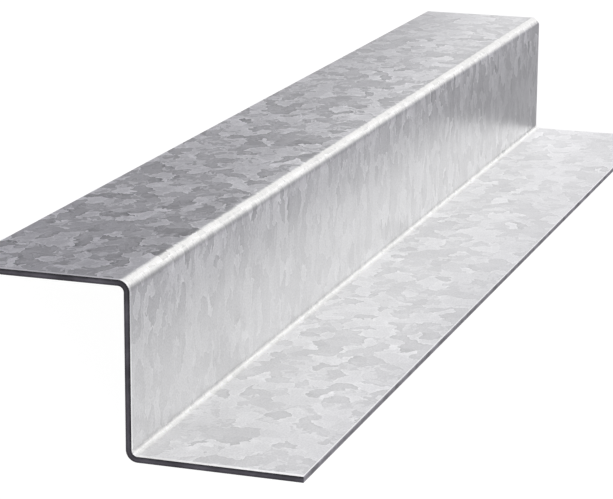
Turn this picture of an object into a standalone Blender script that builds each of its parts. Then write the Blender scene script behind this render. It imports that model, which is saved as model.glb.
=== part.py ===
"""A Z bar folded from zinc-coated sheet steel, lying as it comes to rest on a level floor.

The section is drawn upright first: the web stands on X = 0, the bottom flange runs
to +X along the floor and the top flange runs to -X. The length runs along +Y.
Such a bar can't stand on one flange, because the rounded fold reaches further in
than its centre of mass, so the finished bar is tipped onto its fold and the free
edge of its top flange. All sizes are in metres.
"""

import math

import bmesh
import bpy
from mathutils import Vector

# Driving dimensions
WEB_HEIGHT = 0.060
TOP_FLANGE_WIDTH = 0.060
BOTTOM_FLANGE_WIDTH = 0.060
SHEET_THICKNESS = 0.002
INSIDE_FOLD_RADIUS = 0.002
BAR_LENGTH = 0.550
CUT_EDGE_RADIUS = 0.00015

# How finely the round stretches are divided
FOLD_STEPS = 12
CUT_EDGE_STEPS = 2
SHARPEST_SMOOTH_ANGLE = math.radians(30)

# The coated sheet's finish
ZINC_COLOUR = (0.60, 0.61, 0.63, 1.0)
ZINC_ROUGHNESS = 0.38
ZINC_METALLIC = 0.9


def clear_scene():
    for thing in list(bpy.data.objects):
        bpy.data.objects.remove(thing)


def zinc_material():
    material = bpy.data.materials.new("zinc_coated_steel")
    material.use_nodes = True
    shader = material.node_tree.nodes["Principled BSDF"]
    shader.inputs["Base Color"].default_value = ZINC_COLOUR
    shader.inputs["Roughness"].default_value = ZINC_ROUGHNESS
    shader.inputs["Metallic"].default_value = ZINC_METALLIC
    return material


def middle_of_sheet():
    """The Z that runs through the middle of the sheet, with sharp corners, as (x, z)."""
    half = SHEET_THICKNESS / 2
    return [
        (BOTTOM_FLANGE_WIDTH, half),
        (half, half),
        (half, WEB_HEIGHT - half),
        (SHEET_THICKNESS - TOP_FLANGE_WIDTH, WEB_HEIGHT - half),
    ]


def flat_strip_mesh():
    """Both flanges and the web as one strip without thickness, centred along Y."""
    strip = bmesh.new()
    corners = [
        strip.verts.new((x, -BAR_LENGTH / 2, z)) for x, z in middle_of_sheet()
    ]
    section = [strip.edges.new(pair) for pair in zip(corners, corners[1:])]
    swept = bmesh.ops.extrude_edge_only(strip, edges=section)
    far_end = [v for v in swept["geom"] if isinstance(v, bmesh.types.BMVert)]
    bmesh.ops.translate(strip, verts=far_end, vec=(0, BAR_LENGTH, 0))
    bmesh.ops.recalc_face_normals(strip, faces=strip.faces)
    mesh = bpy.data.meshes.new("z_bar")
    strip.to_mesh(mesh)
    strip.free()
    return mesh


def fold_and_thicken(bar):
    """Rounds the two folds, gives the strip its thickness and breaks the cut edges."""
    folds = bar.modifiers.new("folds", "BEVEL")
    folds.offset_type = "OFFSET"
    folds.width = INSIDE_FOLD_RADIUS + SHEET_THICKNESS / 2
    folds.segments = FOLD_STEPS
    folds.limit_method = "ANGLE"
    folds.use_clamp_overlap = False

    sheet = bar.modifiers.new("sheet", "SOLIDIFY")
    sheet.thickness = SHEET_THICKNESS
    sheet.offset = 0
    sheet.use_even_offset = True

    cut_edges = bar.modifiers.new("cut_edges", "BEVEL")
    cut_edges.offset_type = "OFFSET"
    cut_edges.width = CUT_EDGE_RADIUS
    cut_edges.segments = CUT_EDGE_STEPS
    cut_edges.limit_method = "ANGLE"
    cut_edges.angle_limit = math.radians(60)


def resting_tilt():
    """The angle by which the web leans towards the top flange once the bar has tipped.

    The floor then touches two rounds: the outside of the lower fold and the lower
    corner of the top flange's free edge.
    """
    outside_fold_radius = INSIDE_FOLD_RADIUS + SHEET_THICKNESS
    fold_centre = Vector((outside_fold_radius, outside_fold_radius))
    corner_centre = Vector(
        (
            SHEET_THICKNESS - TOP_FLANGE_WIDTH + CUT_EDGE_RADIUS,
            WEB_HEIGHT - SHEET_THICKNESS + CUT_EDGE_RADIUS,
        )
    )
    across = corner_centre - fold_centre
    drop = outside_fold_radius - CUT_EDGE_RADIUS
    return math.acos(-drop / across.length) - math.atan2(-across.x, across.y)


def lay_on_floor(bar, tilt):
    """Tips the bar and puts the middle of its footprint at the origin."""
    bar.rotation_euler = (0, -tilt, 0)
    bpy.context.view_layer.update()
    solid = bar.evaluated_get(bpy.context.evaluated_depsgraph_get())
    points = [solid.matrix_world @ vertex.co for vertex in solid.data.vertices]
    left = min(point.x for point in points)
    right = max(point.x for point in points)
    lowest = min(point.z for point in points)
    bar.location = (-(left + right) / 2, 0, -lowest)


def build_z_bar():
    mesh = flat_strip_mesh()
    mesh.materials.append(zinc_material())
    bar = bpy.data.objects.new("z_bar", mesh)
    collection = bpy.data.collections.new("Z bar")
    bpy.context.scene.collection.children.link(collection)
    collection.objects.link(bar)
    mesh.shade_smooth()
    mesh.set_sharp_from_angle(angle=SHARPEST_SMOOTH_ANGLE)
    fold_and_thicken(bar)
    return bar


clear_scene()
lay_on_floor(build_z_bar(), resting_tilt())
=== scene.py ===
# %% [markdown]
# # A Z bar in spangled zinc-coated sheet
#
# A Z bar is one strip of sheet steel with two right-angle folds, which carries
# cladding on a wall or a roof. The steel is coated with zinc while it is still flat,
# so the crystals of the coating, called spangles, run on round the folds, and only
# the cut edges show bare steel. This lesson models the folded strip, unrolls it again
# for its pattern, and gives it three finishes: the spangled coating, the sheared ends
# and the slit long edges.

# %% Load the frame
import math

import bmesh
import bpy
from mathutils import Matrix, Vector


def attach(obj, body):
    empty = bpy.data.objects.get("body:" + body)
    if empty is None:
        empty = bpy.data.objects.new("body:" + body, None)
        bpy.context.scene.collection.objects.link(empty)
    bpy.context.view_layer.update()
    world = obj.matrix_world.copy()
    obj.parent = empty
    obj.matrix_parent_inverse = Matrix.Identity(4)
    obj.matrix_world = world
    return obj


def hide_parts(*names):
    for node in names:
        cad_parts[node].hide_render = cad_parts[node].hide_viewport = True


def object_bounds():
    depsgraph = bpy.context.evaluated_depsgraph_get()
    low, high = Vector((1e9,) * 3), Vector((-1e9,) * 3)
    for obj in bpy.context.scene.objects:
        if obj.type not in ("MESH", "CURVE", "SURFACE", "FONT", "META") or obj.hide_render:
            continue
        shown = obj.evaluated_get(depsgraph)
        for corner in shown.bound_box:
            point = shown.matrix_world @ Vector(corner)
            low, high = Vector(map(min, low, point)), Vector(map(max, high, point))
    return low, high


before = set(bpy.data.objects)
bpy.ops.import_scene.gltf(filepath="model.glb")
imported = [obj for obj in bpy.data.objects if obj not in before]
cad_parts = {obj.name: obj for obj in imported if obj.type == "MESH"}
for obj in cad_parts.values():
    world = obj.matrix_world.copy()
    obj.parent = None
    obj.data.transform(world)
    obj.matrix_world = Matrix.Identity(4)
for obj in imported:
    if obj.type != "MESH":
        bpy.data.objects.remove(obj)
frame_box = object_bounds()
print("frame box in mm:", [[round(1000 * value, 2) for value in corner] for corner in frame_box])

# %% [markdown]
# ## Sizes
# A section is easiest to draw standing upright: the web stands on the Y axis, the
# bottom flange runs to +X and the top flange to -X. The bar can't stay like that,
# because its lower fold reaches further in than its centre of mass. It tips until
# the fold and the free edge of the top flange both touch the floor. So the script
# draws it upright and tips it once at the end, by an angle worked out from the same
# sizes. The length comes from the frame, so it can never disagree with it.

# %% Sizes of the section, in metres
WEB_HEIGHT = 0.060
FLANGE_WIDTH = 0.060
SHEET_THICKNESS = 0.002
INSIDE_FOLD_RADIUS = 0.002
OUTSIDE_FOLD_RADIUS = INSIDE_FOLD_RADIUS + SHEET_THICKNESS
CUT_EDGE_RADIUS = 0.00015
BAR_LENGTH = frame_box[1][1] - frame_box[0][1]


def resting_tilt():
    """How far the web leans once the bar has come to rest, in radians."""
    fold_centre = Vector((OUTSIDE_FOLD_RADIUS, OUTSIDE_FOLD_RADIUS))
    corner_centre = Vector(
        (
            SHEET_THICKNESS - FLANGE_WIDTH + CUT_EDGE_RADIUS,
            WEB_HEIGHT - SHEET_THICKNESS + CUT_EDGE_RADIUS,
        )
    )
    across = corner_centre - fold_centre
    drop = OUTSIDE_FOLD_RADIUS - CUT_EDGE_RADIUS
    return math.acos(-drop / across.length) - math.atan2(-across.x, across.y)


TIP_OVER = Matrix.Rotation(-resting_tilt(), 4, "Y")
print(f"length {1000 * BAR_LENGTH:.1f} mm, resting tilt {math.degrees(resting_tilt()):.2f} degrees")

# %% [markdown]
# ## The folded strip
# A press brake folds a flat strip round a nose of small radius. The bar could also be
# bent by a modifier or cut from blocks, but the brake's own order is simple in mesh
# code and gives exact radii. Four points draw the side of the sheet that faces the
# viewer, with sharp corners. Extruding them gives a strip, and a bevel of the fold
# edges rounds them. On the top fold this side is the outside of the bend, and on the
# lower fold it is the inside, so the two radii differ by the sheet's thickness.

# %% Find edges by direction and place
STRAIGHT_ENOUGH = 0.9999
SAME_PLACE = 1e-6


def edges_along(mesh, axis):
    """The edges that run along one axis, 0 for X, 1 for Y or 2 for Z."""
    found = []
    for edge in mesh.edges:
        step = (edge.verts[1].co - edge.verts[0].co).normalized()
        if abs(step[axis]) > STRAIGHT_ENOUGH:
            found.append(edge)
    return found


def fold_edge(mesh, x, z):
    """The edge that runs along the bar through this point of the section."""
    corner = Vector((x, 0, z))
    for edge in edges_along(mesh, 1):
        if (edge.verts[0].co * Vector((1, 0, 1)) - corner).length < SAME_PLACE:
            return edge


print(f"places within {1000 * SAME_PLACE} mm count as one")

# %% Fold the strip
FOLD_STEPS = 16


def folded_strip():
    """The shown side of the sheet, folded, as a strip without thickness."""
    strip = bmesh.new()
    corners = [
        (FLANGE_WIDTH, SHEET_THICKNESS),
        (SHEET_THICKNESS, SHEET_THICKNESS),
        (SHEET_THICKNESS, WEB_HEIGHT),
        (SHEET_THICKNESS - FLANGE_WIDTH, WEB_HEIGHT),
    ]
    points = [strip.verts.new((x, -BAR_LENGTH / 2, z)) for x, z in corners]
    section = [strip.edges.new(pair) for pair in zip(points, points[1:])]
    swept = bmesh.ops.extrude_edge_only(strip, edges=section)
    far_end = [item for item in swept["geom"] if isinstance(item, bmesh.types.BMVert)]
    bmesh.ops.translate(strip, verts=far_end, vec=(0, BAR_LENGTH, 0))
    for (x, z), radius in zip(corners[1:3], (INSIDE_FOLD_RADIUS, OUTSIDE_FOLD_RADIUS)):
        bmesh.ops.bevel(
            strip,
            geom=[fold_edge(strip, x, z)],
            affect="EDGES",
            offset_type="OFFSET",
            offset=radius,
            segments=FOLD_STEPS,
            profile=0.5,
            material=-1,
            clamp_overlap=False,
        )
    return strip


sheet = folded_strip()
print("folded strip:", len(sheet.faces), "faces")

# %% [markdown]
# ## An even grid
# Each flat could stay one long face, but such faces shade badly and make a poor STL
# file. Loop cuts divide the strip along its length and across its flats. The folds
# need none across, because their bevel has divided them already.

# %% Cut the strip into a grid
GRID_ALONG = 0.010
GRID_ACROSS = 0.004


def cut_into_grid(strip):
    """Divides the long edges, and the straight stretches between the folds."""
    bmesh.ops.subdivide_edges(
        strip,
        edges=edges_along(strip, 1),
        cuts=round(BAR_LENGTH / GRID_ALONG) - 1,
        use_grid_fill=True,
    )
    flats = [
        edge
        for edge in edges_along(strip, 0) + edges_along(strip, 2)
        if edge.calc_length() > OUTSIDE_FOLD_RADIUS * 2
    ]
    bmesh.ops.subdivide_edges(
        strip,
        edges=flats,
        cuts=round(WEB_HEIGHT / GRID_ACROSS) - 1,
        use_grid_fill=True,
    )


cut_into_grid(sheet)
print("grid:", len(sheet.verts), "points,", len(sheet.faces), "faces")

# %% [markdown]
# ## Thickness
# A Solidify modifier would do, but the cut faces need finishes of their own, and a
# bevel comes after it. So the operator is used: it copies the strip at the sheet's
# thickness and closes the rim between the two sides.

# %% Give the strip its thickness


def thicken(strip):
    """Turns the strip into a closed sheet, with the shown side facing out."""
    shown = list(strip.faces)
    strip.normal_update()
    flange = max(shown, key=lambda face: face.calc_center_median().x)
    if flange.normal.z < 0:
        bmesh.ops.reverse_faces(strip, faces=shown)
    bmesh.ops.solidify(strip, geom=shown, thickness=SHEET_THICKNESS)
    strip.normal_update()


thicken(sheet)
print("sheet:", len(sheet.faces), "faces, volume", round(1e6 * sheet.calc_volume(), 1), "cm3")

# %% [markdown]
# ## Cut edges
# The rim is what the shear and the slitter cut. A blade first pulls the surface round
# with it and then breaks the rest, so a cut has slightly rounded edges. A small bevel
# gives that rounding. The shear cuts the two ends and the slitter the two long edges,
# and each leaves its own finish, so each gets a material slot. The rounding belongs
# to the cut beside it. At a corner it counts as the shear's, which cuts last.

# %% Mark and round the cut edges
COATED = 0
SHEARED = 1
SLIT = 2
CUT_EDGE_STEPS = 3
RIM_ANGLE = math.radians(60)
FACES_THE_END = 0.99
LEANS_TO_THE_END = 0.01


def mark_cut_faces(strip):
    """Gives the sheared ends and the slit long edges their material slots."""
    free_edges = (FLANGE_WIDTH, SHEET_THICKNESS - FLANGE_WIDTH)
    for face in strip.faces:
        x = face.calc_center_median().x
        if abs(face.normal.y) > FACES_THE_END:
            face.material_index = SHEARED
        elif min(abs(x - edge) for edge in free_edges) < SAME_PLACE:
            face.material_index = SLIT


def round_cut_edges(strip):
    """Bevels the rim, gives the narrow new faces their slots, and counts its edges."""
    rim = [edge for edge in strip.edges if edge.calc_face_angle() > RIM_ANGLE]
    rounded = bmesh.ops.bevel(
        strip,
        geom=rim,
        affect="EDGES",
        offset_type="OFFSET",
        offset=CUT_EDGE_RADIUS,
        segments=CUT_EDGE_STEPS,
        profile=0.5,
        material=-1,
    )
    strip.normal_update()
    for face in rounded["faces"]:
        face.material_index = SHEARED if abs(face.normal.y) > LEANS_TO_THE_END else SLIT
    return len(rim)


mark_cut_faces(sheet)
print("rim edges rounded:", round_cut_edges(sheet), "and now", len(sheet.edges), "edges in all")

# %% [markdown]
# ## Unrolling the sheet
# The spangles grew on flat sheet, so their pattern needs flat coordinates. An
# unwrapping tool would only come near. The folds are exact arcs, so each point of the
# section has a known distance across the flat blank, taken along the middle of the
# sheet. The blank starts at the bottom flange's free edge.

# %% Lay out the flat blank, in metres
FLANGE_FLAT = FLANGE_WIDTH - OUTSIDE_FOLD_RADIUS
WEB_FLAT = WEB_HEIGHT - 2 * OUTSIDE_FOLD_RADIUS
MIDDLE_FOLD_RADIUS = INSIDE_FOLD_RADIUS + SHEET_THICKNESS / 2
FOLD_LENGTH = MIDDLE_FOLD_RADIUS * math.pi / 2
LOWER_FOLD_START = FLANGE_FLAT
WEB_START = LOWER_FOLD_START + FOLD_LENGTH
UPPER_FOLD_START = WEB_START + WEB_FLAT
TOP_START = UPPER_FOLD_START + FOLD_LENGTH
BLANK_WIDTH = TOP_START + FLANGE_FLAT
LOWER_CENTRE = Vector((OUTSIDE_FOLD_RADIUS, OUTSIDE_FOLD_RADIUS))
UPPER_CENTRE = Vector((SHEET_THICKNESS, WEB_HEIGHT)) - LOWER_CENTRE


def unrolled(point):
    """(distance across the flat blank, depth below the shown side) of a point."""
    x, z = point.x, point.z
    lower = LOWER_CENTRE - Vector((x, z))
    upper = Vector((x, z)) - UPPER_CENTRE
    if lower.x > 0 and lower.y > 0:
        angle = math.atan2(lower.x, lower.y)
        across = LOWER_FOLD_START + MIDDLE_FOLD_RADIUS * angle
        return across, lower.length - INSIDE_FOLD_RADIUS
    if upper.x > 0 and upper.y > 0:
        angle = math.atan2(upper.y, upper.x)
        across = UPPER_FOLD_START + MIDDLE_FOLD_RADIUS * angle
        return across, OUTSIDE_FOLD_RADIUS - upper.length
    if lower.y > 0:
        return FLANGE_WIDTH - x, SHEET_THICKNESS - z
    if upper.y > 0:
        return TOP_START - upper.x, WEB_HEIGHT - z
    return WEB_START - lower.y, SHEET_THICKNESS - x


print(f"flat blank: {1000 * BLANK_WIDTH:.1f} mm wide, folds {1000 * FOLD_LENGTH:.2f} mm each")

# %% [markdown]
# That distance and the position along the bar, both in metres, become the UV map, so
# one unit of the pattern is one metre of steel. The far side of the sheet is shifted,
# as its spangles aren't those of the shown side. A cut face uses its depth through
# the sheet instead, because the marks of a blade follow that.

# %% Write the UV map
HIDDEN_SIDE_SHIFT = 0.25


def lay_out_blank(strip):
    """Writes the UV map, in metres, from where each corner lies on the blank."""
    layer = strip.loops.layers.uv.new("blank")
    for face in strip.faces:
        depth = unrolled(face.calc_center_median())[1]
        shift = HIDDEN_SIDE_SHIFT if depth > SHEET_THICKNESS / 2 else 0
        for loop in face.loops:
            across, depth = unrolled(loop.vert.co)
            if face.material_index == SHEARED:
                loop[layer].uv = (across, depth)
            elif face.material_index == SLIT:
                loop[layer].uv = (loop.vert.co.y, depth)
            else:
                loop[layer].uv = (loop.vert.co.y, across + shift)


lay_out_blank(sheet)
print("UV map:", sheet.loops.layers.uv.keys())

# %% [markdown]
# ## Laying the bar down
# The bar is tipped about its length and slid until its box is the frame's box. The
# move is applied to the mesh and not to the object, so the object stays unturned at
# the origin and every pattern stays where it was drawn. The same move is kept for
# the camera, which was worked out beside the upright section.

# %% Tip the bar


def settle(strip):
    """Tips the sheet, slides it into the frame's box, and returns the whole move."""
    tipped = [TIP_OVER @ point.co for point in strip.verts]
    left = min(point.x for point in tipped)
    right = max(point.x for point in tipped)
    lowest = min(point.z for point in tipped)
    middle = (frame_box[0][0] + frame_box[1][0]) / 2
    slide = Vector((middle - (left + right) / 2, 0, frame_box[0][2] - lowest))
    move = Matrix.Translation(slide) @ TIP_OVER
    bmesh.ops.transform(strip, matrix=move, verts=strip.verts)
    return move


LAY_DOWN = settle(sheet)
print("slid by", [round(1000 * value, 2) for value in LAY_DOWN.translation], "mm")

# %% [markdown]
# The mesh becomes an object. Smooth shading with marked sharp edges keeps the rim
# crisp. The Weighted Normal modifier lets the large flat faces lead, so the flats
# mirror like flats right up to the folds.

# %% Make the object
SHARPEST_SMOOTH_ANGLE = math.radians(40)


def finished_bar(strip):
    """The bar as one object, smooth round its folds and crisp at its rim."""
    mesh = bpy.data.meshes.new("coated_z_bar")
    strip.to_mesh(mesh)
    strip.free()
    mesh.shade_smooth()
    mesh.set_sharp_from_angle(angle=SHARPEST_SMOOTH_ANGLE)
    bar = bpy.data.objects.new("coated_z_bar", mesh)
    bpy.context.scene.collection.objects.link(bar)
    flat_faces = bar.modifiers.new("flat_faces_lead", "WEIGHTED_NORMAL")
    flat_faces.keep_sharp = True
    return bar


bar = finished_bar(sheet)
print(bar.name, "has", len(bar.data.polygons), "faces")

# %% [markdown]
# ## Helpers for the finishes
# A finish is a graph of nodes. It could be drawn in the shader editor, but in code it
# can be read and repeated. One class holds short ways to add and join nodes. A second
# one adds a material and the patterns that every finish starts from, on the blank's
# coordinates in millimetres.

# %% Ways to add and join nodes
MIX_SOCKETS = {"FLOAT": (2, 3, 0), "VECTOR": (4, 5, 1), "RGBA": (6, 7, 2)}


class Graph:
    """A node tree and short ways to add and join its nodes."""

    def __init__(self, tree):
        self.tree = tree

    def node(self, kind, inputs=None, **settings):
        """Adds a node. An input is a plain value, or the socket that feeds it."""
        made = self.tree.nodes.new("ShaderNode" + kind)
        for name, value in settings.items():
            setattr(made, name, value)
        for name, value in (inputs or {}).items():
            self.feed(made.inputs[name], value)
        return made

    def feed(self, socket, value):
        """Joins a socket to another one, or sets its value."""
        if isinstance(value, bpy.types.NodeSocket):
            self.tree.links.new(value, socket)
        else:
            socket.default_value = value

    def maths(self, operation, *values):
        """A Math node's output for up to three values or sockets."""
        made = self.node("Math", operation=operation)
        for socket, value in zip(made.inputs, values):
            self.feed(socket, value)
        return made.outputs[0]

    def vectors(self, operation, *values, scale=None):
        """A Vector Math node's output for up to three vectors or sockets."""
        made = self.node("VectorMath", operation=operation)
        for socket, value in zip(made.inputs, values):
            self.feed(socket, value)
        if scale is not None:
            self.feed(made.inputs["Scale"], scale)
        return made.outputs["Vector"]

    def ramp(self, value, low, high, to_low=0.0, to_high=1.0, shape="LINEAR"):
        """Maps the stretch from low to high onto another one, clamped."""
        ends = {"From Min": low, "From Max": high, "To Min": to_low, "To Max": to_high}
        made = self.node("MapRange", {"Value": value, **ends}, interpolation_type=shape)
        return made.outputs["Result"]

    def blend(self, amount, first, second, kind="FLOAT"):
        """Mixes two numbers, vectors or colours by an amount from 0 to 1."""
        one, other, out = MIX_SOCKETS[kind]
        made = self.node("Mix", {0: amount, one: first, other: second}, data_type=kind)
        return made.outputs[out]


print("node helpers ready")

# %% Patterns that every finish starts from
MM_PER_M = 1000
NO_TINT = (1.0, 1.0, 1.0)


def grey(tone, tint=NO_TINT):
    """One tone as a colour, with a slight tint."""
    return tuple(tone * part for part in tint) + (1.0,)


class Finish(Graph):
    """A new material, with its shader at hand and the patterns it can start from."""

    def __init__(self, name):
        self.material = bpy.data.materials.new(name)
        self.material.use_nodes = True
        super().__init__(self.material.node_tree)
        self.shader = self.tree.nodes["Principled BSDF"]

    def blank_in_mm(self):
        """The place on the flat blank in millimetres, as a vector."""
        place = self.node("UVMap", uv_map="blank").outputs["UV"]
        return self.vectors("SCALE", place, scale=MM_PER_M)

    def noise(self, place, size, detail=2.0, roughness=0.5):
        """A two-dimensional Noise node whose blotches are about size mm across."""
        return self.node(
            "TexNoise",
            {"Vector": place, "Scale": 1 / size, "Detail": detail, "Roughness": roughness},
            noise_dimensions="2D",
        )

    def wander(self, place, size, distance, detail):
        """Moves each place by up to about distance mm, in swirls of size mm."""
        swirl = self.noise(place, size, detail).outputs["Color"]
        centred = self.vectors("SUBTRACT", swirl, (0.5, 0.5, 0.5))
        return self.vectors("ADD", place, self.vectors("SCALE", centred, scale=2 * distance))

    def part_of(self, colour, part):
        """A colour's Red, Green or Blue, as a number."""
        return self.node("SeparateColor", {"Color": colour}).outputs[part]

    def steps(self, value, tones, tint=NO_TINT):
        """Equal steps of plain tones over 0 to 1."""
        made = self.node("ValToRGB", {"Fac": value})
        made.color_ramp.interpolation = "CONSTANT"
        stops = made.color_ramp.elements
        while len(stops) < len(tones):
            stops.new(0.5)
        for index, tone in enumerate(tones):
            stops[index].position = index / len(tones)
            stops[index].color = grey(tone, tint)
        return made.outputs["Color"]


print("a mid grey is", grey(0.5))

# %% [markdown]
# ## Where on the bar
# Zinc freezes a little differently across the width of a coil, and each flat takes
# the light in its own way. So most values of the coating are given three times, for
# the bottom flange, the web and the top flange, and some of them paint that light and
# shade into the zinc's tone. Three materials would need a seam at each fold. One
# material that knows where each point lies on the blank picks the right value instead.
# On the sheet's far side the shift is taken off again first, so both sides have the
# same parts.

# %% Tell the three parts apart
BOTTOM, WEB, TOP = 0, 1, 2
HALF_LENGTH = MM_PER_M * BAR_LENGTH / 2
MIDDLES_OF_FOLDS = [
    MM_PER_M * (start + FOLD_LENGTH / 2) for start in (LOWER_FOLD_START, UPPER_FOLD_START)
]


class Coating(Finish):
    """A finish that knows how far along and across the blank each point lies, in mm."""

    def __init__(self, name):
        super().__init__(name)
        self.place = self.blank_in_mm()
        parts = self.node("SeparateXYZ", {"Vector": self.place}).outputs
        self.along = parts["X"]
        self.across = self.maths("MODULO", parts["Y"], MM_PER_M * HIDDEN_SIDE_SHIFT)

    def by_part(self, values):
        """One value on the bottom flange, one on the web and one on the top flange."""
        above_lower, above_upper = (
            self.maths("GREATER_THAN", self.across, middle) for middle in MIDDLES_OF_FOLDS
        )
        lower_part = self.blend(above_lower, values[BOTTOM], values[WEB])
        return self.blend(above_upper, lower_part, values[TOP])


print("the parts meet at", [round(middle, 1) for middle in MIDDLES_OF_FOLDS], "mm across")

# %% [markdown]
# ## Crystals
# Each crystal lies at its own angle, so it sends back a little more or less of the
# room than the one beside it. A Voronoi texture gives every crystal a random colour.
# On its own it looks like cracked mud, with straight borders. So its coordinates
# first wander in large, middling and small swirls, which makes the borders ragged as
# flames. They are squeezed too, because on the web the crystals are narrow and tall.

# %% Draw crystals with ragged borders
WANDERS = ((9.0, 4.0, 2.0), (3.0, 1.8, 1.0), (1.2, 0.45, 0.0))
SQUEEZES_ALONG = (0.95, 1.65, 0.90)
SQUEEZES_ACROSS = (1.05, 0.93, 1.12)


def wandering_place(zinc):
    """The place on the blank, squeezed for each part and then shifted in swirls."""
    along, across = zinc.by_part(SQUEEZES_ALONG), zinc.by_part(SQUEEZES_ACROSS)
    shape = zinc.node("CombineXYZ", {"X": along, "Y": across}).outputs["Vector"]
    place = zinc.vectors("MULTIPLY", zinc.place, shape)
    for size, distance, detail in WANDERS:
        place = zinc.wander(place, size, distance, detail)
    return place


def crystal_colours(zinc, place, size, softness=None):
    """A random colour for each crystal. Softness lets it run into the next ones."""
    texture = zinc.node("TexVoronoi", {"Vector": place, "Scale": 1 / size}, voronoi_dimensions="2D")
    if softness is not None:
        texture.feature = "SMOOTH_F1"
        texture.inputs["Smoothness"].default_value = softness
    return texture.outputs["Color"]


print("swirls of", [size for size, distance, detail in WANDERS], "mm")

# %% [markdown]
# ## Tones and painted light at the borders
# Real crystals don't take every tone. Most have one of two, and a few are lighter or
# darker. So the random value picks one of four levels, and where neighbours get the
# same one they merge into a larger patch. A little of a finer texture is mixed in
# first, which frays the borders. The borders froze last and stand out, and the light
# they catch is painted into the colour: the lighter side is painted lighter there and
# the darker side darker. A second, blurred copy of the same texture gives that painted
# light and shade, because the crisp one minus the blurred one is nothing inside a
# crystal and strong at its border.

# %% Pick each crystal's tone and paint light and shade at its border
CRYSTAL_SIZE = 6.8
FRAGMENT_SIZE = 1.8
FRAGMENT_SHARES = (0.25, 0.26, 0.33)
LEVELS = (0.0, 0.2, 0.8, 1.0)
CRYSTAL_SOFTNESS = 0.75
FRAGMENT_SOFTNESS = 1.0
BORDER_LIGHT_AND_SHADE = 3.1
OWN_TONE = 0.4


def mixed_value(zinc, large, small):
    """One random value for each place, mostly the large crystal's."""
    share = zinc.by_part(FRAGMENT_SHARES)
    return zinc.blend(share, zinc.part_of(large, "Red"), zinc.part_of(small, "Red"))


def spangles(zinc):
    """Each crystal's swing of tone from about -1 to 1, and its random colour."""
    place = wandering_place(zinc)
    large = crystal_colours(zinc, place, CRYSTAL_SIZE)
    small = crystal_colours(zinc, place, FRAGMENT_SIZE)
    soft_large = crystal_colours(zinc, place, CRYSTAL_SIZE, CRYSTAL_SOFTNESS)
    soft_small = crystal_colours(zinc, place, FRAGMENT_SIZE, FRAGMENT_SOFTNESS)
    crisp = mixed_value(zinc, large, small)
    # Painted light and shade: the crisp value minus the blurred one lightens and darkens each
    # crystal's border.
    border = zinc.maths("SUBTRACT", crisp, mixed_value(zinc, soft_large, soft_small))
    level = zinc.maths("MULTIPLY_ADD", border, BORDER_LIGHT_AND_SHADE, zinc.steps(crisp, LEVELS))
    own = zinc.ramp(zinc.part_of(large, "Blue"), 0.0, 1.0, -1 - OWN_TONE, -1 + OWN_TONE)
    return zinc.maths("MULTIPLY_ADD", level, 2.0, own), large


print("crystals of about", CRYSTAL_SIZE, "mm in", len(LEVELS), "levels")

# %% [markdown]
# ## Contrast
# Crystals differ most in tone where the metal mirrors something dark, and least where
# it is seen at a shallow angle. So their contrast is given for each part twice: for
# the near half of the bar and for its far end. The zinc's tone is given twice as well,
# as painted light and shade: each part is painted a little lighter or darker towards
# the far end. Between the two, both change evenly.

# %% Set the contrast and the painted light and shade of each part
CONTRASTS = (0.085, 0.057, 0.255)
FAR_CONTRASTS = (0.077, 0.106, 0.094)
# Painted light and shade: the zinc's tone on each part, near and far.
NEAR_PAINTED_LIGHT = (0.989, 1.007, 0.960)
FAR_PAINTED_LIGHT = (1.026, 0.905, 0.997)
CHANGE_START = -60.0


def near_to_far(zinc, near_values, far_values):
    """A value for each part that changes towards the far end."""
    amount = zinc.ramp(zinc.along, CHANGE_START, HALF_LENGTH)
    return zinc.blend(amount, zinc.by_part(near_values), zinc.by_part(far_values))


print("the change starts", HALF_LENGTH + CHANGE_START, "mm from the near end")

# %% [markdown]
# ## Across the blank
# Bending stretches the zinc on the outside of a fold and crushes it on the inside.
# Both break it up finely, so a fold is paler and duller than the flats beside it, and
# shows fewer crystals. The tone also carries painted light and shade: the pale middle
# of each fold is partly a painted highlight, the thin dark steps beside the upper fold
# are painted shade, and each flat is painted lighter or darker across its width.
# Painting this by hand would need a picture. Instead a table gives three values at a
# few places across each part: the zinc's tone with its painted light and shade, how
# far it was stretched, and how strong its pattern is. All tables go into one colour
# ramp across the blank, whose red, green and blue carry the three values.

# %% Tables of the zinc and of painted light and shade across each part
# The bottom flange is painted lighter towards the lower fold.
BOTTOM_SKIN_AND_PAINTED_LIGHT = {0.0: (0.657, 0.0, 1.0), 0.5: (0.715, 0.0, 1.0), 1.0: (0.813, 0.0, 1.0)}
# The pale middle of the lower fold is partly crushed zinc and partly a painted highlight.
LOWER_FOLD_SKIN_AND_PAINTED_LIGHT = {
    0.00: (0.80, 0.1, 1.0),
    0.10: (1.04, 0.6, 0.8),
    0.24: (1.05, 0.8, 0.8),
    0.42: (0.94, 0.8, 0.8),
    0.60: (0.92, 0.8, 0.8),
    0.76: (0.84, 0.6, 1.0),
    0.89: (0.67, 0.2, 1.0),
}
# The web is painted lighter towards the upper fold.
WEB_SKIN_AND_PAINTED_LIGHT = {
    0.00: (0.590, 0.0, 0.8),
    0.10: (0.607, 0.0, 0.8),
    0.45: (0.621, 0.0, 0.8),
    0.65: (0.636, 0.0, 1.1),
    0.80: (0.675, 0.0, 1.5),
    1.00: (0.795, 0.0, 2.1),
}
# The upper fold: a painted highlight over its middle, painted shade in the dark steps at 0.16 and
# 0.94.
UPPER_FOLD_SKIN_AND_PAINTED_LIGHT = {
    0.09: (0.805, 0.0, 2.1),
    0.16: (0.58, 0.3, 1.5),
    0.25: (0.645, 0.4, 1.2),
    0.40: (0.76, 0.7, 1.0),
    0.58: (0.97, 0.9, 0.2),
    0.82: (1.03, 0.9, 0.1),
    0.88: (0.78, 0.6, 0.1),
    0.94: (0.58, 0.3, 0.6),
}
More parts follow.
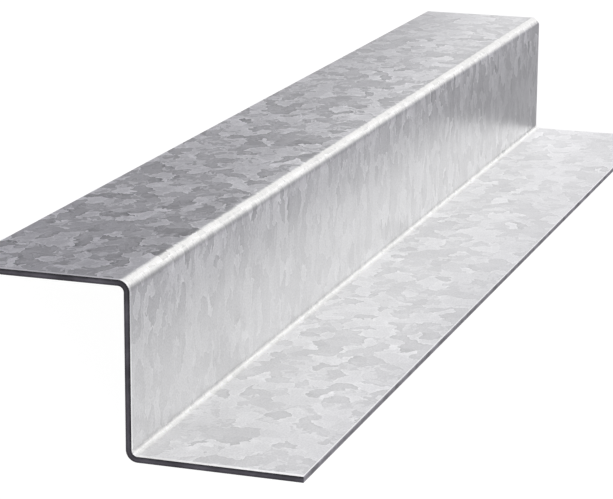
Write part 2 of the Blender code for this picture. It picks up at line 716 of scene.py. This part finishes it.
# The top flange is painted darker beside the upper fold.
TOP_SKIN_AND_PAINTED_LIGHT = {
    0.00: (0.60, 0.0, 1.0),
    0.06: (0.63, 0.0, 1.0),
    0.30: (0.675, 0.0, 1.0),
    1.00: (0.69, 0.0, 1.0),
}
SKINS_AND_PAINTED_LIGHT = (
    (0.0, FLANGE_FLAT, BOTTOM_SKIN_AND_PAINTED_LIGHT),
    (LOWER_FOLD_START, FOLD_LENGTH, LOWER_FOLD_SKIN_AND_PAINTED_LIGHT),
    (WEB_START, WEB_FLAT, WEB_SKIN_AND_PAINTED_LIGHT),
    (UPPER_FOLD_START, FOLD_LENGTH, UPPER_FOLD_SKIN_AND_PAINTED_LIGHT),
    (TOP_START, FLANGE_FLAT, TOP_SKIN_AND_PAINTED_LIGHT),
)
print("places across the blank:", sum(len(skin) for start, length, skin in SKINS_AND_PAINTED_LIGHT))

# %% [markdown]
# A band read straight from the tables would be ruled as if by a machine. So they are
# looked up at a distance that a noise pushes to and fro, and the upper band also
# slants a little along the bar, as the strip lay slightly askew in the brake.

# %% Look the tables up
UNEVEN_SIZE = 4.0
UNEVEN_SHIFTS = (1.3, 0.8)
BAND_SLANT = (0.2, -0.35)


def uneven_across(zinc):
    """The distance across, shifted a little to and fro, so that no band is ruled."""
    web = (MM_PER_M * WEB_START, MM_PER_M * UPPER_FOLD_START)
    slant = zinc.ramp(zinc.along, -HALF_LENGTH, HALF_LENGTH, *BAND_SLANT)
    slant = zinc.maths("MULTIPLY", slant, zinc.ramp(zinc.across, *web))
    slanted = zinc.maths("ADD", zinc.across, slant)
    swing = zinc.noise(zinc.place, UNEVEN_SIZE).outputs["Fac"]
    swing = zinc.maths("SUBTRACT", swing, 0.5)
    return zinc.maths("MULTIPLY_ADD", swing, zinc.ramp(zinc.across, *web, *UNEVEN_SHIFTS), slanted)


def skin_and_painted_light_across(zinc):
    """The zinc's tone with painted light and shade, how far it was stretched, and how strong its
    pattern is.
    """
    share = zinc.ramp(uneven_across(zinc), 0.0, MM_PER_M * BLANK_WIDTH)
    made = zinc.node("ValToRGB", {"Fac": share})
    stops = made.color_ramp.elements
    wanted = [
        ((start + length * part) / BLANK_WIDTH, values)
        for start, length, skin in SKINS_AND_PAINTED_LIGHT
        for part, values in skin.items()
    ]
    while len(stops) < len(wanted):
        stops.new(0.5)
    for index, (position, values) in enumerate(wanted):
        stops[index].position = min(position, 1.0)
        stops[index].color = (*values, 1.0)
    return [zinc.part_of(made.outputs["Color"], part) for part in ("Red", "Green", "Blue")]


print("bands slant by", round(BAND_SLANT[0] - BAND_SLANT[1], 2), "mm along the bar")

# %% [markdown]
# ## Ticks and painted rim highlights
# Under a glass the stretched zinc shows fine cracks across the fold. They could be
# cut as geometry, but they are thinner than the coating, so a noise squeezed into
# short ticks is enough. Beside each cut a thin bright line is a painted highlight,
# where the rounded edge would catch the light. That thin line is painted on the
# coating, and not on the cut, and it follows the distance to the nearest end and to
# the bottom flange's free edge.

# %% Draw the ticks and the painted rim highlights
CRACK_SPACING = 0.5
CRACK_LENGTH = 2.0
CRACK_SPAN = (0.38, 0.5)
RIM_HIGHLIGHT_WIDTHS = (2.0, 1.0, 1.6)
SLIT_HIGHLIGHT_WIDTH = 0.55
FADE = 0.15


def between_cracks(zinc):
    """Fine ticks across the folds, 0 in a crack and 1 between them."""
    squeezed = zinc.vectors("MULTIPLY", zinc.place, (1 / CRACK_SPACING, 1 / CRACK_LENGTH, 1))
    ticks = zinc.noise(squeezed, 1.0, detail=3.0, roughness=0.6).outputs["Fac"]
    return zinc.ramp(ticks, *CRACK_SPAN)


def painted_rim_highlight(zinc):
    """1 beside a cut edge, where a highlight is painted, and 0 elsewhere."""
    to_end = zinc.maths("SUBTRACT", HALF_LENGTH, zinc.maths("ABSOLUTE", zinc.along))
    from_end = zinc.maths("SUBTRACT", to_end, zinc.by_part(RIM_HIGHLIGHT_WIDTHS))
    from_slit = zinc.maths("SUBTRACT", zinc.across, SLIT_HIGHLIGHT_WIDTH)
    return zinc.ramp(zinc.maths("MINIMUM", from_end, from_slit), FADE, -FADE)


print("rims shine over", RIM_HIGHLIGHT_WIDTHS, "mm at the ends")

# %% [markdown]
# ## The coating's colour
# The tone is one product: the crystal's swing, the tables' tone with its painted light
# and shade, the part's tone with painted light and shade from end to end, and a fine
# grain, which is the orange-peel skin of the zinc itself. A slight tint makes it a
# colour, warmer on the folds. Then the ticks darken it and the painted rim highlights
# brighten it.

# %% Put the colour together
ZINC_TINT = (0.981, 0.982, 0.977)
BAND_TINT = (1.0, 1.0, 0.945)
# Painted highlight beside the cut edges.
RIM_HIGHLIGHT_TONE = (0.97, 0.97, 0.955, 1.0)
CRACK_DEPTH = 0.09
GRAIN_DEPTH = 0.15
GRAIN_SPAN = (0.2, 0.8)


def zinc_colour(zinc, swing, grain, skin):
    """The coating's colour: crystals, grain, stretched folds, and painted light and shade."""
    tone_and_painted_light, stretched, strength = skin
    contrast = zinc.maths("MULTIPLY", near_to_far(zinc, CONTRASTS, FAR_CONTRASTS), strength)
    tone = zinc.maths("MULTIPLY_ADD", swing, contrast, 1.0)
    # The tables' tone, with its painted light and shade.
    tone = zinc.maths("MULTIPLY", tone, tone_and_painted_light)
    tone = zinc.maths("MULTIPLY", tone, near_to_far(zinc, NEAR_PAINTED_LIGHT, FAR_PAINTED_LIGHT))
    grained = zinc.ramp(grain, *GRAIN_SPAN, 1 - GRAIN_DEPTH, 1 + GRAIN_DEPTH)
    tone = zinc.maths("MULTIPLY", tone, grained)
    tint = zinc.blend(stretched, ZINC_TINT, BAND_TINT, kind="VECTOR")
    colour = zinc.vectors("SCALE", tint, scale=tone)
    crack = zinc.maths("SUBTRACT", 1.0, between_cracks(zinc))
    crack = zinc.maths("MULTIPLY", crack, zinc.maths("MULTIPLY", stretched, CRACK_DEPTH))
    colour = zinc.vectors("SCALE", colour, scale=zinc.maths("SUBTRACT", 1.0, crack))
    # Painted highlight beside the cuts.
    return zinc.blend(painted_rim_highlight(zinc), colour, RIM_HIGHLIGHT_TONE, kind="RGBA")


print("tints:", ZINC_TINT, "on the flats,", BAND_TINT, "on the folds")

# %% [markdown]
# ## The coating's gloss
# Zinc is a metal, so the flats are nearly all metallic, and each crystal is a little
# shinier or duller than the next. The finely broken zinc of the folds scatters light
# like a pale paint, so there the metal gives way. Each crystal also leans slightly,
# and the grain gives a very fine bump.

# %% Make the spangled coating
COATING_METALLIC = 0.93
BAND_METALLIC = 0.1
SHINY_ROUGHNESS = 0.29
DULL_ROUGHNESS = 0.34
BAND_ROUGHNESS = 0.45
STRAY_LEAN = 0.02
GRAIN_SIZE = 0.7
GRAIN_BUMP = 0.06
BUMP_HEIGHT = 0.0002


def leaning_normal(zinc, crystal_colour):
    """The surface's normal, leaned a little for each crystal."""
    centred = zinc.vectors("SUBTRACT", crystal_colour, (0.5, 0.5, 0.5))
    lean = zinc.vectors("SCALE", centred, scale=STRAY_LEAN)
    surface = zinc.node("NewGeometry").outputs["Normal"]
    return zinc.vectors("NORMALIZE", zinc.vectors("ADD", surface, lean))


def spangled_zinc():
    zinc = Coating("spangled_zinc")
    swing, crystal_colour = spangles(zinc)
    grain = zinc.noise(zinc.place, GRAIN_SIZE, detail=3.0, roughness=0.7).outputs["Fac"]
    skin = skin_and_painted_light_across(zinc)
    stretched = skin[1]
    dullness = zinc.part_of(crystal_colour, "Green")
    rough = zinc.ramp(dullness, 0.0, 1.0, SHINY_ROUGHNESS, DULL_ROUGHNESS)
    bump = zinc.node(
        "Bump",
        {
            "Height": grain,
            "Strength": GRAIN_BUMP,
            "Distance": BUMP_HEIGHT,
            "Normal": leaning_normal(zinc, crystal_colour),
        },
    )
    sockets = zinc.shader.inputs
    zinc.feed(sockets["Base Color"], zinc_colour(zinc, swing, grain, skin))
    zinc.feed(sockets["Roughness"], zinc.blend(stretched, rough, BAND_ROUGHNESS))
    zinc.feed(sockets["Metallic"], zinc.blend(stretched, COATING_METALLIC, BAND_METALLIC))
    zinc.feed(sockets["Normal"], bump.outputs["Normal"])
    return zinc.material


bar.data.materials.append(spangled_zinc())
print("coating:", bar.data.materials[COATED].name)

# %% [markdown]
# ## The cut steel
# Neither the shear nor the slitter leaves zinc on the cut. A sheared end is dark
# bare steel, with a faint zone where the blade slid and one where the steel broke.
# The slit long edge is smoother, because the mill's rotary knives burnish it, so it
# is a mid grey. One function makes both: steps of tone through the depth of the
# sheet, with their borders shaken by a noise, and broad patches along the cut.

# %% Make the cut finishes
SHEARED_TONES = (0.030, 0.056, 0.086, 0.092, 0.062, 0.064)
SLIT_TONES = (0.33, 0.25, 0.28)
SHEARED_TINT = (1.02, 0.96, 1.12)
SLIT_TINT = (1.01, 0.975, 1.06)
TORN_SIZE = 1.5
TORN_SHIFT = 0.5
TORN_BUMP = 0.3
PATCH_SIZE = 10.0
PATCH_DEPTH = 0.35
NOISE_SPAN = (0.3, 0.7)
CUT_SHINE = 0.2


def cut_steel(name, tones, tint, *, metallic, roughness):
    """Bare steel whose tone changes through the depth of the sheet."""
    steel = Finish(name)
    place = steel.blank_in_mm()
    depth = steel.node("SeparateXYZ", {"Vector": place}).outputs["Y"]
    torn = steel.noise(place, TORN_SIZE, detail=3.0).outputs["Fac"]
    shaken = steel.maths("MULTIPLY_ADD", torn, TORN_SHIFT, depth)
    first = TORN_SHIFT / 2
    share = steel.ramp(shaken, first, first + MM_PER_M * SHEET_THICKNESS)
    patchy = steel.noise(place, PATCH_SIZE).outputs["Fac"]
    patchy = steel.ramp(patchy, *NOISE_SPAN, 1 - PATCH_DEPTH, 1 + PATCH_DEPTH)
    colour = steel.vectors("SCALE", steel.steps(share, tones, tint), scale=patchy)
    bump = steel.node("Bump", {"Height": torn, "Strength": TORN_BUMP, "Distance": BUMP_HEIGHT})
    sockets = steel.shader.inputs
    steel.feed(sockets["Base Color"], colour)
    steel.feed(sockets["Roughness"], steel.ramp(torn, *NOISE_SPAN, roughness, roughness + 0.1))
    steel.feed(sockets["Normal"], bump.outputs["Normal"])
    sockets["Metallic"].default_value = metallic
    sockets["Specular IOR Level"].default_value = CUT_SHINE
    return steel.material


sheared = cut_steel("sheared_steel", SHEARED_TONES, SHEARED_TINT, metallic=0.0, roughness=0.6)
slit = cut_steel("slit_steel", SLIT_TONES, SLIT_TINT, metallic=0.9, roughness=0.4)
bar.data.materials.append(sheared)
bar.data.materials.append(slit)
print("slots:", [material.name for material in bar.data.materials])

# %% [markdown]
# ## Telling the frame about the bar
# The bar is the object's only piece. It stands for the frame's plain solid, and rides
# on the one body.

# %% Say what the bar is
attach(bar, "root")
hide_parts("z_bar")
print(bar.name, "replaces z_bar")

# %% [markdown]
# ## Floor
# The photo's background is plain white. Rays from the camera and from glossy
# surfaces see the floor almost at a strength of 1, and a small plain share keeps the
# bar's shadow on it. All other rays see plain pale paint, so the floor lights the
# bar from below as a real one does. The floor's own glow isn't sampled as a lamp.

# %% Make the floor
FLOOR_SIZE = 8.0
FLOOR_PAINT = (0.8, 0.8, 0.8, 1.0)
FLOOR_SHADOW_PAINT = (0.16, 0.16, 0.16, 1.0)
FLOOR_OWN_WHITE = 0.93


def white_floor_finish():
    """Paint that looks white to the camera and pale to the light."""
    finish = Finish("white_floor")
    finish.tree.nodes.remove(finish.shader)
    shadowed = finish.node("BsdfDiffuse", {"Color": FLOOR_SHADOW_PAINT})
    own = finish.node("Emission", {"Strength": FLOOR_OWN_WHITE})
    seen = finish.node("AddShader", {0: shadowed.outputs[0], 1: own.outputs[0]})
    plain = finish.node("BsdfDiffuse", {"Color": FLOOR_PAINT})
    rays = finish.node("LightPath").outputs
    direct = finish.maths("MAXIMUM", rays["Is Camera Ray"], rays["Is Glossy Ray"])
    direct = finish.maths("MAXIMUM", direct, rays["Is Transmission Ray"])
    both = finish.node("MixShader", {0: direct, 1: plain.outputs[0], 2: seen.outputs[0]})
    out = finish.tree.nodes["Material Output"]
    finish.feed(out.inputs["Surface"], both.outputs[0])
    finish.material.cycles.emission_sampling = "NONE"
    return finish.material


def white_floor():
    """A level square under the bar."""
    grid = bmesh.new()
    bmesh.ops.create_grid(grid, x_segments=1, y_segments=1, size=FLOOR_SIZE / 2)
    mesh = bpy.data.meshes.new("floor")
    grid.to_mesh(mesh)
    grid.free()
    mesh.materials.append(white_floor_finish())
    floor = bpy.data.objects.new("floor", mesh)
    bpy.context.scene.collection.objects.link(floor)
    return floor


floor = white_floor()
print("floor:", FLOOR_SIZE, "m square")

# %% [markdown]
# ## Light
# Bare metal shows its surroundings more than its own colour, so a studio for metal
# is built from large soft panels of light and dark gaps. Area lamps would do, but in
# a rough metal they make noise. Here each panel is a patch of the world's sky with
# soft edges, which gives the same light as a soft box a few metres off. The corner
# between web and bottom flange sends the light from straight behind twice to the
# camera, so the brightest panel is there. A dimmer one beside it lights the far half
# of the top flange. To the right of both is a gap, which the far part of the web
# mirrors. One panel overhead, one on each side and two dim ones behind the camera
# keep the bar light when it is seen from elsewhere. The rest of the room is dim and
# slightly violet.

# %% Choose the panels of light
ROOM_LIGHT = (0.350, 0.345, 0.380)
PANELS = {
    "back": {"azimuth": (-8, 11), "height": (10, 38), "edges": (5, 10), "light": 1.35},
    "back_left": {"azimuth": (-45, 6), "height": (-6, 60), "edges": (6, 6), "light": 0.70},
    "top": {"azimuth": (-200, 200), "height": (60, 110), "edges": (5, 12), "light": 0.95},
    "front_left": {"azimuth": (-250, -115), "height": (8, 60), "edges": (12, 10), "light": 0.40},
    "front_right": {"azimuth": (115, 250), "height": (8, 60), "edges": (12, 10), "light": 0.40},
    "left": {"azimuth": (-130, -80), "height": (8, 45), "edges": (8, 8), "light": 0.5},
    "right": {"azimuth": (90, 140), "height": (8, 45), "edges": (8, 8), "light": 0.5},
}


def panel_of_light(sky, azimuth, elevation, panel):
    """A panel's light in each direction, in degrees from +Y and from the horizon."""
    light = panel["light"]
    spans = (azimuth, panel["azimuth"]), (elevation, panel["height"])
    for (angle, (start, end)), edge in zip(spans, panel["edges"]):
        rise = sky.ramp(angle, start - edge, start + edge, shape="SMOOTHSTEP")
        fall = sky.ramp(angle, end - edge, end + edge, 1.0, 0.0, shape="SMOOTHSTEP")
        light = sky.maths("MULTIPLY", light, sky.maths("MULTIPLY", rise, fall))
    return light


print("panels of light:", list(PANELS))

# %% Draw them on the world


def studio_world():
    """A dim room with the panels of light round it."""
    world = bpy.data.worlds.new("studio")
    world.use_nodes = True
    sky = Graph(world.node_tree)
    ray = sky.node("TexCoord").outputs["Generated"]
    east, north, up = sky.node("SeparateXYZ", {"Vector": ray}).outputs
    azimuth = sky.maths("DEGREES", sky.maths("ARCTAN2", east, north))
    elevation = sky.maths("DEGREES", sky.maths("ARCSINE", up))
    light = ROOM_LIGHT
    for panel in PANELS.values():
        glow = panel_of_light(sky, azimuth, elevation, panel)
        light = sky.vectors("ADD", light, glow)
    sky.feed(sky.tree.nodes["Background"].inputs["Color"], light)
    return world


bpy.context.scene.world = studio_world()
print("world:", bpy.context.scene.world.name)

# %% [markdown]
# ## Dark flags
# Photographers of metal stand black cards, called flags, beside it, so that it has
# a dark side. The near half of the top flange is dark in the photo because it
# mirrors such a gap. A low card that stands on the left does that here, and narrows
# towards the far end. A second one lies on the floor before it. It is a net that
# thins out along the bar, which gives the flange its even gradient. Only reflections
# see them, so they throw no shadow.

# %% Measure the flags, in metres
FLAG_LEFT = -0.16
TOP_FLANGE_EDGE = -0.0634
FLAG_NEAR_END = -0.35
FLAG_FAR_END = 0.70
STANDING_FLAG = (
    (FLAG_LEFT, FLAG_NEAR_END, 0.002),
    (FLAG_LEFT, FLAG_FAR_END, 0.002),
    (FLAG_LEFT, FLAG_FAR_END, 0.008),
    (FLAG_LEFT, FLAG_NEAR_END, 0.085),
)
LYING_FLAG = (
    (FLAG_LEFT, FLAG_NEAR_END, 0.001),
    (TOP_FLANGE_EDGE, FLAG_NEAR_END, 0.001),
    (TOP_FLANGE_EDGE, FLAG_FAR_END, 0.001),
    (FLAG_LEFT, FLAG_FAR_END, 0.001),
)
print("flags run from", FLAG_NEAR_END, "to", FLAG_FAR_END, "m along the bar")

# %% Set up the flags
FLAG_TINT = (0.99, 0.975, 1.08)
STANDING_GREY = 0.38
LYING_GREY = 0.37
LYING_FADE = (-0.30, 0.60)


def flag_finish(name, darkness, fade):
    """Matt dark cloth. With a fade, it thins out between two places along the bar."""
    cloth = Finish(name)
    cloth.shader.inputs["Base Color"].default_value = grey(darkness, FLAG_TINT)
    cloth.shader.inputs["Roughness"].default_value = 1.0
    if fade:
        place = cloth.node("TexCoord").outputs["Object"]
        along = cloth.node("SeparateXYZ", {"Vector": place}).outputs["Y"]
        cloth.feed(cloth.shader.inputs["Alpha"], cloth.ramp(along, *fade, 1.0, 0.0))
    return cloth.material


def flag(name, corners, darkness, fade=None):
    """A dark card that is seen in reflections only."""
    card = bmesh.new()
    points = [card.verts.new(corner) for corner in corners]
    bmesh.ops.contextual_create(card, geom=points)
    mesh = bpy.data.meshes.new(name)
    card.to_mesh(mesh)
    card.free()
    mesh.materials.append(flag_finish(name, darkness, fade))
    board = bpy.data.objects.new(name, mesh)
    board.visible_camera = False
    board.visible_diffuse = False
    board.visible_shadow = False
    bpy.context.scene.collection.objects.link(board)
    return board


flag("standing_flag", STANDING_FLAG, STANDING_GREY)
flag("lying_flag", LYING_FLAG, LYING_GREY, LYING_FADE)
print("flags stand and lie at the left")

# %% [markdown]
# ## Camera
# The camera was found from the bar's straight edges in the photo: with the web's
# height known, the edges that run away from the viewer give the place, the turn and
# the focal length. It is written beside the upright section, and is tipped over
# with the bar, so the bar keeps its attitude in the picture.

# %% Set the camera
PHOTO_WIDTH = 613
SENSOR_WIDTH = 36.0
FOCAL_LENGTH_IN_PIXELS = 2465.6
CAMERA_FROM_NEAR_END = Vector((4.8695, -11.4735, 4.4020)) * WEB_HEIGHT
CAMERA_TURN = math.radians(18.598)
CAMERA_DIP = math.radians(14.565)
CAMERA_ROLL = math.radians(0.338)


def photo_camera():
    """The camera at the photo's viewing angle."""
    data = bpy.data.cameras.new("camera")
    data.sensor_width = SENSOR_WIDTH
    data.lens = FOCAL_LENGTH_IN_PIXELS / PHOTO_WIDTH * SENSOR_WIDTH
    camera = bpy.data.objects.new("camera", data)
    place = Matrix.Translation(CAMERA_FROM_NEAR_END - Vector((0, BAR_LENGTH / 2, 0)))
    turn = Matrix.Rotation(CAMERA_TURN, 4, "Z")
    dip = Matrix.Rotation(math.pi / 2 - CAMERA_DIP, 4, "X")
    roll = Matrix.Rotation(CAMERA_ROLL, 4, "Z")
    camera.matrix_world = LAY_DOWN @ place @ turn @ dip @ roll
    bpy.context.scene.collection.objects.link(camera)
    return camera


camera = photo_camera()
bpy.context.scene.camera = camera
print(f"lens {camera.data.lens:.1f} mm at {[round(value, 3) for value in camera.location]}")

# %% [markdown]
# ## Finish
# The standard view shows colours as they are written.

# %% Set the standard view
bpy.context.scene.view_settings.view_transform = "Standard"
bpy.context.view_layer.update()
